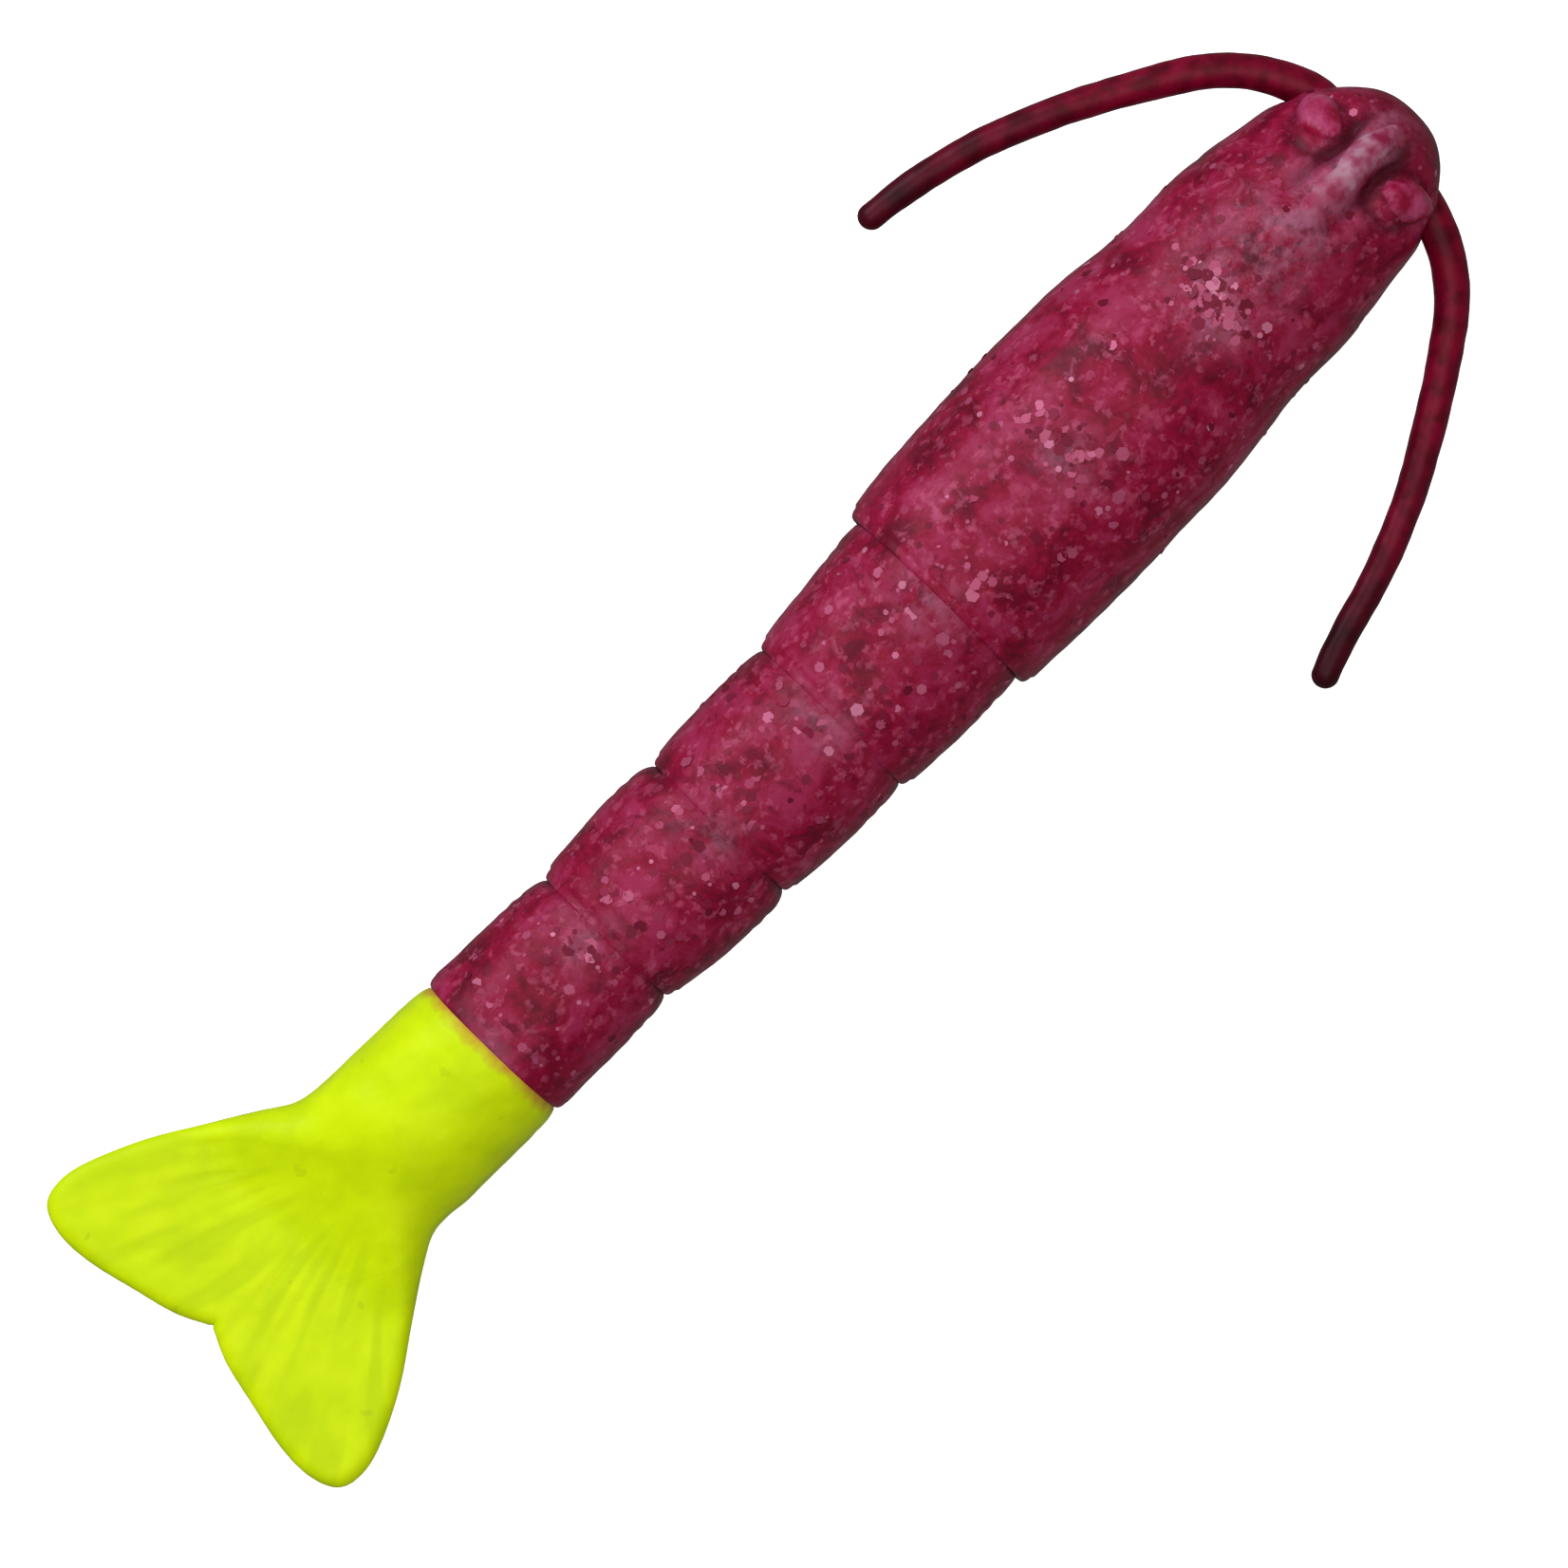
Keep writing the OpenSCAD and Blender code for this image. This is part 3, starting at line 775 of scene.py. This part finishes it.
def outline_distance(points):
    """Distance from each point in plan to the fan's outline."""
    p = np.array(points, float)
    p[:, 1] = np.abs(p[:, 1])
    return np.min(np.linalg.norm(p[:, None, :] - OUTLINE[None, :, :], axis=2), axis=1)


def fan_half_t(points):
    """Half the fan's thickness at points in plan: thick and round at the root, thin and flat behind."""
    root = 1 - ease(*ROOT_RUN, FAN_X - points[:, 0])
    thick = LOBE_HALF_T + ROOT_DROP * root
    rounding = EDGE_ROUND[0] + EDGE_ROUND[1] * root ** 1.5
    near_edge = np.clip(outline_distance(points) / rounding, 0, 1)
    return thick * np.sqrt(1 - (1 - near_edge) ** 2)


def ray_angle(x, y):
    return np.arctan2(y, RAY_ORIGIN_X - x)


def fan_relief(points):
    """Faint rays that spread from the root, and the skin's lumps. Both fade at the fan's edge."""
    x, y = points.T
    turns = 2 * np.pi * ray_angle(x, y) / LOBE_SPREAD
    wave = sum(height * np.cos(cycles * turns + phase) for cycles, phase, height in RAYS)
    patchy = np.array([0.8 + 1.3 * noise.noise(Vector((p[0] / 4, p[1] / 3, 7.0))) for p in points])
    from_edge = outline_distance(points)
    rays = wave * patchy * ease(2.0, 5.5, FAN_X - x) * ease(0.2, 1.2, from_edge)
    at_mid_height = np.column_stack([points, np.full(len(points), AXIS_Z)])
    return rays + lumps(at_mid_height) * ease(0.0, 0.5, from_edge)


def mark_streaks(skin):
    """Stores faint streaks that run out from the fan's root, for the material."""
    rest = np.empty(len(skin.data.vertices) * 3, np.float32)
    skin.data.attributes["rest_mm"].data.foreach_get("vector", rest)
    x, y, _ = rest.reshape(-1, 3).T
    spread, behind = ray_angle(x, y), FAN_X - x
    fade = ease(1.0, 5.0, behind)
    mark(skin, "streak", [
        f * 1.6 * noise.noise(Vector((a * 11, b / 5, 3.0))) for f, a, b in zip(fade, spread, behind)])


def fan_row(points):
    """Heights of the upper and lower faces over a row of points in plan."""
    half, relief = fan_half_t(points), fan_relief(points)
    return AXIS_Z + half + relief, AXIS_Z - half - 0.5 * relief


CUT_LAP = 0.15  # the fan's middle runs this far into each lobe, just below its faces
CUT_SINK = 0.03


def fan_section(x):
    """A loop across the middle of the fan, with the same points as a section of the tail."""
    side = OUTLINE[: int(np.argmax(OUTLINE[:, 1]))]
    half_w = float(np.interp(-x, -side[:, 0], side[:, 1]))
    cut_w = half_w
    if x < CUT_START[0]:
        cut_w = CUT_START[1] * (x - NOTCH[0]) / (CUT_START[0] - NOTCH[0])
        half_w = cut_w + CUT_LAP
    points = np.column_stack([np.full(AROUND, x), half_w * np.sin(ANGLES)])
    upper, lower = fan_row(points)
    sunk = CUT_SINK * ease(cut_w, cut_w + CUT_LAP / 2, np.abs(points[:, 1])) * (x < CUT_START[0])
    z = np.where(np.cos(ANGLES) > 0, upper - sunk, lower + sunk)
    z[[AROUND // 4, 3 * AROUND // 4]] = AXIS_Z
    round_one = section(x, half_w, *tail_heights(x, half_w), ring_lift(x, SEAM_X, TAIL_PLEATING))
    share = 1 - float(ease(CUT_START[0], FAN_X + 2.7, x))
    flat_one = np.column_stack([points, z])
    return round_one * (1 - share) + flat_one * share


def build_fan_middle():
    xs = np.r_[np.arange(TAIL_CUT_X, FAN_X - 3, -0.15), np.linspace(FAN_X - 3, NOTCH[0] + 0.05, 56)]
    loops = [fan_section(x) for x in xs]
    skin = make_piece("fan_skin", *loft(loops), chartreuse, "chartreuse")
    mark_streaks(skin)
    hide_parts("tail_fan_base")
    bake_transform(skin)


LOBE_ROWS = 112  # rows from the cut out to the edge, and points across each of them
LOBE_ACROSS = 46
RIM_POINTS = 150


def build_fin(side_name, side):
    """One lobe, lofted from its line on the fan's middle out to its edge."""
    start = int(np.argmin(np.linalg.norm(OUTLINE - CUT_START, axis=1)))
    rim = resample(OUTLINE[start:], RIM_POINTS)
    crowd = (1 - np.cos(np.linspace(0, np.pi, LOBE_ACROSS))) / 2
    across = 0.6 * crowd + 0.4 * np.linspace(0, 1, LOBE_ACROSS)
    loops = []
    for share in np.linspace(0.0, 0.994, LOBE_ROWS):
        root = CUT_START + (NOTCH - CUT_START) * share
        out = at_length(share, np.linspace(0, 1, RIM_POINTS), rim)
        row = root + (out - root) * (across if share else across * 0.02)[:, None]
        row[:, 1] *= side
        upper, lower = fan_row(row)
        loops.append(np.vstack([np.column_stack([row, upper]), np.column_stack([row, lower])[::-1]]))
    skin = make_piece(f"fin_skin_{side_name}", *loft(loops), chartreuse, "chartreuse")
    mark_streaks(skin)
    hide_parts(f"fin_{side_name}")
    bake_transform(skin)


# ---- antennae ----

# Bend radius and angle of each arc; the right antenna's tip turns outward again
ANTENNA_BENDS = {"left": ((9.0, 36.0), (60.0, 7.0), (30.0, 20.0)),
                 "right": ((9.0, 36.0), (60.0, 7.0), (33.0, 14.0), (-30.0, -6.0))}
TIP_REACH = {"left": 0.6, "right": 1.1}  # from the last arc's end to the tip
STUB = 2.9  # length of the hidden start, inside the head
LEAD_BEND_R = 4.4  # that start curves back towards the eye
ANTENNA_R = (0.98, 0.27, 0.12)  # radius at the root, its loss by the tip, and the root's swell
ANTENNA_SECTION = 28
ANTENNA_STEP = 0.12
FINE_STEPS = 900
TIP_RUN = 0.75  # the tip's loops crowd together over this length
CUT_AHEAD = (0.9, 1.3, 1.3)  # how far ahead of each joint two pieces meet


def arc(here, heading, radius, turn):
    """Points on an arc that starts at here with the given heading, after each turn."""
    return here + radius * np.column_stack([
        np.sin(heading + turn) - math.sin(heading), math.cos(heading) - np.cos(heading + turn)])


def antenna_path(side_name, side):
    """Fine points along one antenna, from inside the head to the tip, and where each joint lies."""
    here = joint_point(f"antenna_{side_name}_swing")[:2] * (1, side)
    knee = joint_point(f"antenna_{side_name}_lift")[:2] * (1, side)
    chord = knee - here
    heading = math.atan2(chord[1], chord[0]) - math.radians(ANTENNA_BENDS[side_name][0][1] / 2)
    points = [arc(here, heading, LEAD_BEND_R, -np.linspace(STUB, 0.05, 24) / LEAD_BEND_R)]
    joints_at = [STUB]
    for radius, degrees in ANTENNA_BENDS[side_name]:
        whole = math.radians(degrees)
        points.append(arc(here, heading, radius, whole * np.linspace(0, 1, 60, endpoint=False)))
        here = arc(here, heading, radius, np.array([whole]))[0]
        heading += whole
        joints_at.append(joints_at[-1] + radius * whole)
    tip = here + TIP_REACH[side_name] * np.array([math.cos(heading), math.sin(heading)])
    flat = np.vstack(points + [here[None], tip[None]]) * (1, side)
    return np.column_stack([flat, np.full(len(flat), AXIS_Z)]), joints_at


def antenna_radius(along, length):
    """Full at the root, slender at the tip, closed by a round end."""
    root, loss, swell = ANTENNA_R
    r = root - loss * along / length + swell * np.exp(-np.maximum(along - 1.5, 0) / 0.9)
    round_end = np.clip((length - along) / 0.7, 0, 1)
    r = r * np.sqrt(np.clip(1 - (1 - round_end) ** 2, 0, 1)) + 0.01
    return r * (0.5 + 0.5 * ease(0.0, 0.9, along))


def antenna_steps(low, high, is_tip):
    """Stations along one piece of an antenna, which crowd together round the tip's end."""
    steps = np.arange(low, high, ANTENNA_STEP)
    if not is_tip:
        return np.r_[steps, high]
    round_end = high - TIP_RUN * np.linspace(1, 0.001, 14) ** 1.6
    return np.r_[steps[steps < high - TIP_RUN], round_end]


def antenna_loop(centre, tangent, r):
    """One round loop across an antenna, with the skin's lumps."""
    across = unit(np.array([-tangent[1], tangent[0], 0.0]))
    turn = full_turn(ANTENNA_SECTION)
    outward = np.cos(turn)[:, None] * across + np.sin(turn)[:, None] * np.array([0.0, 0.0, 1.0])
    plain = centre + r * outward
    return plain + (lumps(plain) * min(1.0, r / 0.5))[:, None] * outward


def build_antenna(side_name, side):
    path, joints_at = antenna_path(side_name, side)
    length = float(np.linalg.norm(np.diff(path, axis=0), axis=1).sum())
    cuts = [0.0, *(at - ahead for at, ahead in zip(joints_at, CUT_AHEAD)), length]
    bodies = ["carapace_body"] + [f"antenna_{side_name}_{part}" for part in ("root", "mid", "tip")]
    fine = resample(path, FINE_STEPS)
    lengths = np.linspace(0, length, FINE_STEPS)
    tangent = np.gradient(fine, axis=0)
    tangent /= np.linalg.norm(tangent, axis=1)[:, None]
    for k, part in enumerate(("base", "root", "mid", "tip")):
        steps = antenna_steps(cuts[k], cuts[k + 1], part == "tip")
        loops = [antenna_loop(at_length(s, lengths, fine), at_length(s, lengths, tangent),
                              float(antenna_radius(s, length))) for s in steps]
        skin = make_piece(f"antenna_skin_{side_name}_{part}", *loft(loops), antenna_dark, "antenna_crimson",
                          follow_set=False)
        mark(skin, "along", np.r_[np.repeat(steps, ANTENNA_SECTION), steps[0], steps[-1]] / length)
        if part == "base":
            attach(skin, bodies[k])
            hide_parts(f"antenna_base_{side_name}")
            continue
        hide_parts(bodies[k])
        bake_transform(skin)


# ---- eyes and crest ----

EYE_SHIFT = (0.55, 0.15)  # of the visible lump from the CAD's ball, forward and outward
EYE_HEADING = (0.40, 0.64, -0.62)
EYE_RADII = (1.75, 1.12, 0.95)  # along the stalk, across it and upward
EYE_BUMPS = ((1.5, 0.12), (4.5, 0.04))  # how close together and how high
EYE_AROUND = 56
EYE_ROWS = 64


def build_eye(side_name, side):
    """A low uneven lump that runs outward to the antenna's root."""
    centre = EYE_CENTRE * (1, side, 1) + np.array([EYE_SHIFT[0], side * EYE_SHIFT[1], 0.0])
    outward = unit(np.array(EYE_HEADING) * (1, side, 1))
    across = unit(np.cross(outward, [0, 0, 1.0]))
    frame_axes = np.array([outward, across, np.cross(across, outward)])
    turn = full_turn(EYE_AROUND)
    offset = Vector((3.0 * side, 0, 0))
    (wide, high), (narrow, low) = EYE_BUMPS
    loops = []
    for tilt in np.radians(np.linspace(1, 179, EYE_ROWS)):
        ring = math.sin(tilt) * np.array([np.cos(turn), np.sin(turn)])
        ball = np.column_stack([np.full(EYE_AROUND, math.cos(tilt)), *ring])
        bumps = [1 + high * noise.noise(Vector(p * wide) + offset) + low * noise.noise(Vector(p * narrow))
                 for p in ball]
        loops.append(centre + (ball * EYE_RADII * np.array(bumps)[:, None]) @ frame_axes)
    piece = make_piece(f"eye_skin_{side_name}", *loft(loops), eye_highlight_pink, "pink_highlight")
    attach(piece, "carapace_body")
    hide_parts(f"eye_{side_name}")


CREST_AROUND = 36
CREST_ROWS = 130
CREST_TOOTH = (1.7, 0.05)  # spacing and height of its soft teeth
CREST_ROOT = 0.9  # how deep it is set in the carapace


def crest_height(x, share):
    """How far the crest stands above the carapace, at a share of its length from the front."""
    swell = window(share, 0.0, 0.18, 0.35, 0.95)
    spacing, tooth = CREST_TOOTH
    teeth = tooth * math.cos(2 * math.pi * (x - HEAD_BACK_X) / spacing) * ease(0.08, 0.25, share)
    stand = 0.34 * ease(0.0, 0.10, share) - 0.42 * ease(0.65, 1.0, share)
    return stand - 0.12 + (0.26 + teeth) * swell


def build_crest():
    """The rostrum's crest: a low rounded ridge with soft teeth that sinks into the carapace behind."""
    xs = np.linspace(NOSE_X - 0.8, RIDGE_BACK + 3.2, CREST_ROWS)
    shares = np.linspace(0, 1, CREST_ROWS)
    turn = full_turn(CREST_AROUND)
    loops = []
    for x, share in zip(xs, shares):
        w = float(body_half_w(x))
        top = AXIS_Z + w + crest_height(x, share)
        root = AXIS_Z + w - CREST_ROOT
        half = 0.55 + 0.30 * ease(0.0, 0.3, share) + 0.06 * noise.noise(Vector((x / 1.1, 5.0, 0.0)))
        ring = np.column_stack([np.full(CREST_AROUND, x), half * np.sin(turn),
                                (top + root) / 2 + (top - root) / 2 * np.cos(turn)])
        ring[:, 1] += 0.12 * noise.noise(Vector((x / 2.2, 9.0, 0.0)))
        ring[:, 2] += 0.6 * lumps(ring)
        loops.append(ring)
    piece = make_piece("rostrum_crest", *loft(loops), crest_highlight_pink, "pink_highlight")
    mark(piece, "along", np.r_[np.repeat(shares, CREST_AROUND), 0, 1])
    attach(piece, "carapace_body")
    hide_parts("rostrum")


# ---- glitter ----

FLAKE_T = 0.035
FLAKE_R = (0.10, 0.30)
FLAKE_SINK = (-0.018, 0.008)  # a flake's middle lies between these heights above the skin
FLAKE_TILT = 0.07
CLUSTER_SHARE = 0.26
CLUSTER_SPREAD = 0.8  # along the body
CLUSTER_TURN = (0.01, 0.045)  # middle and spread round the body, as shares of a turn
CLUSTER_GROWTH = 1.5  # gathered flakes are larger
GATHERED_DARK = 0.4  # share of the gathered flakes that are dark; the others are bright
BELLY_FROM = 0.62  # of the half turn from the back, where the belly starts
BELLY_SHARE = 0.4  # fewer flakes show on the belly
HEXAGON = np.radians(np.arange(0, 360, 60))


def flake_spot(row_x, around, clusters):
    """Draws a loop, a point round it and whether the flake is gathered. None if it is left out."""
    gathered = rng.random() < CLUSTER_SHARE
    last = len(row_x) - 2
    if gathered:
        x = rng.choice(clusters) + rng.normal(0, CLUSTER_SPREAD)
        u = float(np.interp(-x, -row_x, np.arange(len(row_x))))
        v = rng.normal(around * CLUSTER_TURN[0], around * CLUSTER_TURN[1]) % around
        if not 1 <= u <= last:
            return None
    else:
        u, v = rng.uniform(1, last), rng.uniform(0, around)
    from_top = min(v, around - v) / around * 2
    if from_top > BELLY_FROM and rng.random() > BELLY_SHARE:
        return None
    return u, v, gathered


def flake_corners(loops, u, v, gathered):
    """A flake's upper and lower corners, with its own size and tilt. None where the skin has no area."""
    around = loops.shape[1]
    i, j = int(u), int(v)
    along_x = loops[i + 1, j] - loops[i, j]
    around_x = loops[i, (j + 1) % around] - loops[i, j]
    p = loops[i, j] + along_x * (u - i)
    normal = np.cross(around_x, along_x)
    size = np.linalg.norm(normal)
    if size < 1e-9:
        return None
    normal /= size
    if normal @ (p - np.array([p[0], 0, AXIS_Z])) < 0:
        normal = -normal
    normal = unit(normal + rng.normal(0, FLAKE_TILT, 3))
    east = unit(np.cross(normal, [0.3, 0.5, 0.8]))
    north = np.cross(normal, east)
    growth = rng.random() ** 1.5 * (CLUSTER_GROWTH if gathered else 1.0)
    radius = FLAKE_R[0] + (FLAKE_R[1] - FLAKE_R[0]) * growth
    spin = rng.uniform(0, math.pi)
    rim = radius * (np.cos(HEXAGON + spin)[:, None] * east + np.sin(HEXAGON + spin)[:, None] * north)
    sink = rng.uniform(*FLAKE_SINK)
    return [*(p + normal * (FLAKE_T / 2 + sink) + rim), *(p + normal * (-FLAKE_T / 2 + sink) + rim)]


def flake_tint(gathered):
    tint = rng.random() ** 1.5
    if not gathered:
        return tint
    return 0.75 + 0.25 * tint if rng.random() > GATHERED_DARK else 0.2 * tint


def scatter_flakes(name, node, loops, count, clusters, body=None, groove=None):
    """Hexagonal flakes lying in a skin. Some gather over the back near the x of each cluster."""
    loops = np.asarray(loops, float)
    row_x = loops[:, :, 0].mean(1)
    verts, faces, tints = [], [], []
    while len(tints) < 12 * count:
        spot = flake_spot(row_x, loops.shape[1], clusters)
        corners = spot and flake_corners(loops, *spot)
        if not corners:
            continue
        ring = list(range(len(verts), len(verts) + 6))
        low = [k + 6 for k in ring]
        verts.extend(corners)
        faces += [tuple(ring), tuple(low[::-1])]
        faces.extend((ring[k], low[k], low[(k + 1) % 6], ring[(k + 1) % 6]) for k in range(6))
        tints.extend([flake_tint(spot[2])] * 12)
    piece = make_piece(name, verts, faces, glitter, "glitter")
    piece.data.shade_flat()
    mark(piece, "tint", tints)
    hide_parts(node)
    if groove is None:
        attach(piece, body)
    else:
        bend_over_groove(piece)


# ---- build ----

SNOUT_LOOPS = 12  # no flakes lie in the snout's first loops
RING_FRONT_LOOPS = 6  # nor in those that a ring hides under the rim ahead
CARAPACE_FLAKES = 520
RING_FLAKES = 110

carapace_loops = build_carapace()
ring_loops = {k: build_ring(k) for k in (1, 2, 3, 4)}
build_tail()
build_fan_middle()
for side_name, side in (("left", 1), ("right", -1)):
    build_fin(side_name, side)
    build_antenna(side_name, side)
    build_eye(side_name, side)
build_crest()
# the cluster behind the head is named twice, because it holds twice as many flakes
scatter_flakes("flakes_carapace", "glitter_carapace", carapace_loops[SNOUT_LOOPS:-RIM_LOOPS], CARAPACE_FLAKES,
               (RIDGE_BACK, RIDGE_BACK, MID_CLUSTER_X, NECK_X + 1.0), body="carapace_body")
for k in (1, 2, 3, 4):
    scatter_flakes(f"flakes_abdomen_{k}", f"glitter_abdomen_{k}", ring_loops[k][RING_FRONT_LOOPS:-RIM_LOOPS],
                   RING_FLAKES, (GROOVES[k - 1] - 1.2, GROOVES[k] + 1.2), groove=k)

# ---- floor, light and camera ----

FLOOR_GLOW = 0.80  # a light table's glow, which keeps the paper white round the bait
SWEEP_FLAT = 1.2  # the paper lies flat this far out, then curves up all round, in metres
SWEEP_CURVE = 1.2
FLOOR_DROP = 0.00005  # the paper lies this far below the belly, in metres
SWEEP_AROUND = 96
SWEEP_ROWS = 20


def build_floor():
    """A round sheet of pale paper that curves up into a backdrop. It is unseen by the bait itself."""
    angles = full_turn(SWEEP_AROUND)
    rise = np.linspace(0, np.pi / 2, SWEEP_ROWS)
    radii = np.r_[SWEEP_FLAT, SWEEP_FLAT + SWEEP_CURVE * np.sin(rise[1:])]
    heights = np.r_[0, SWEEP_CURVE * (1 - np.cos(rise[1:]))] - FLOOR_DROP
    middle_x = CAD_BOX[0].x / 2
    verts = [(middle_x, 0.0, heights[0])]
    for r, h in zip(radii, heights):
        verts.extend((middle_x + r * math.cos(a), r * math.sin(a), h) for a in angles)
    size = SWEEP_AROUND
    faces = [(0, 1 + i, 1 + (i + 1) % size) for i in range(size)]
    for k in range(len(radii) - 1):
        near, far = 1 + k * size, 1 + (k + 1) * size
        faces.extend((near + i, far + i, far + (i + 1) % size, near + (i + 1) % size) for i in range(size))
    mesh = bpy.data.meshes.new("studio_floor")
    mesh.from_pydata(verts, [], faces)
    mesh.shade_smooth()
    floor = placed("studio_floor", mesh)
    look = Look("floor_paper")
    look.set(Base_Color=(0.95, 0.95, 0.95, 1), Roughness=0.9, Specular_IOR_Level=0.1)
    look.set(Emission_Color=(1, 1, 1, 1), Emission_Strength=FLOOR_GLOW)
    mesh.materials.append(look.material)
    floor.visible_diffuse = False
    floor.visible_glossy = False
    floor.visible_shadow = False


WORLD_STRENGTH = 0.27
LIGHT_DISTANCE = 0.6
COOL_WHITE = (0.92, 1.0, 1.12)


def soft_light(name, towards, size, watts, colour=(1, 1, 1)):
    """A square soft light that faces the middle of the body from the given direction."""
    lamp = bpy.data.lights.new(name, "AREA")
    lamp.energy = watts
    lamp.size = size
    lamp.color = colour
    holder = placed(name, lamp)
    target = Vector((FAN_X / 3 * MM, 0, 0))
    holder.location = target + Vector(towards).normalized() * LIGHT_DISTANCE
    holder.rotation_mode = "QUATERNION"
    holder.rotation_quaternion = (target - holder.location).to_track_quat("-Z", "Y")


def build_light():
    world = bpy.data.worlds.new("studio")
    bpy.context.scene.world = world
    world.use_nodes = True
    background = world.node_tree.nodes["Background"]
    background.inputs["Color"].default_value = (1, 1, 1, 1)
    background.inputs["Strength"].default_value = WORLD_STRENGTH
    soft_light("key", (0.1, 1.3, 0.9), 0.30, 2.25, COOL_WHITE)
    soft_light("overhead", (0.0, 0.0, 1.0), 0.50, 2.0)


# The picture looks straight down, with the snout up and to the right
PICTURE_ROLL = math.radians(-45.92)
VIEW_CENTRE = Vector((-20.3, -1.2, 3.0)) * MM
VIEW_WIDTH = 80.0 * MM
CAMERA_DISTANCE = 0.42
SENSOR_MM = 36


def build_camera():
    data = bpy.data.cameras.new("camera")
    camera = placed("camera", data)
    data.sensor_width = SENSOR_MM
    data.lens = SENSOR_MM * CAMERA_DISTANCE / VIEW_WIDTH
    data.clip_start = 0.01
    above = Matrix.Translation(VIEW_CENTRE + Vector((0, 0, CAMERA_DISTANCE)))
    camera.matrix_world = above @ Matrix.Rotation(PICTURE_ROLL, 4, "Z")
    bpy.context.scene.camera = camera


build_floor()
build_light()
build_camera()
bpy.context.scene.view_settings.view_transform = "Standard"
